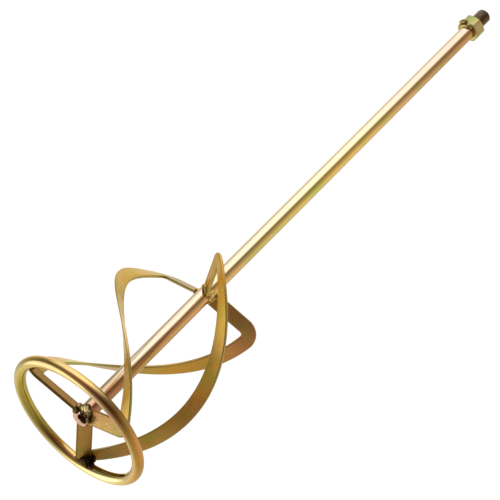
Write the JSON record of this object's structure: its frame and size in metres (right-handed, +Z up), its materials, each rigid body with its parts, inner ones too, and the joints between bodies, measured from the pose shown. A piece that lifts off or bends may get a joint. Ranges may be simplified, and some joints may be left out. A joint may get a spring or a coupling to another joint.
{
  "type": "mortar mixing paddle",
  "caption": "Mixing paddle for mortar: threaded shaft with a welded nut, helical flat-bar flights that wind down to a ring, and flat spokes from the shaft's foot to the ring.",
  "frame": {"origin": "on the shaft's axis, at the ring's underside", "axes": "+Z up the shaft towards its thread; +X towards one flat of the nut"},
  "size_m": [0.135, 0.135, 0.59],
  "materials": {
    "zinc_gold": "satin, yellow zinc",
    "zinc_olive": "satin, olive-yellow zinc",
    "zinc_bright": "glossy, yellow zinc",
    "weld_dark": "rough, dark weld metal"
  },
  "bodies": {
    "root": {"shaft": "zinc_bright", "nut": "zinc_olive", "nut_weld": "weld_dark", "ring": "zinc_bright", "ring_seam_weld": "weld_dark", "blade_1": "zinc_gold", "blade_2": "zinc_gold", "blade_3": "zinc_gold", "spoke_1": "zinc_gold", "spoke_2": "zinc_gold", "spoke_3": "zinc_gold", "arm_weld_1": "weld_dark", "arm_weld_2": "weld_dark", "arm_weld_3": "weld_dark", "hub_weld_1": "weld_dark", "hub_weld_2": "weld_dark", "hub_weld_3": "weld_dark", "foot_weld_1": "weld_dark", "foot_weld_2": "weld_dark", "foot_weld_3": "weld_dark"}
  },
  "joints": []
}
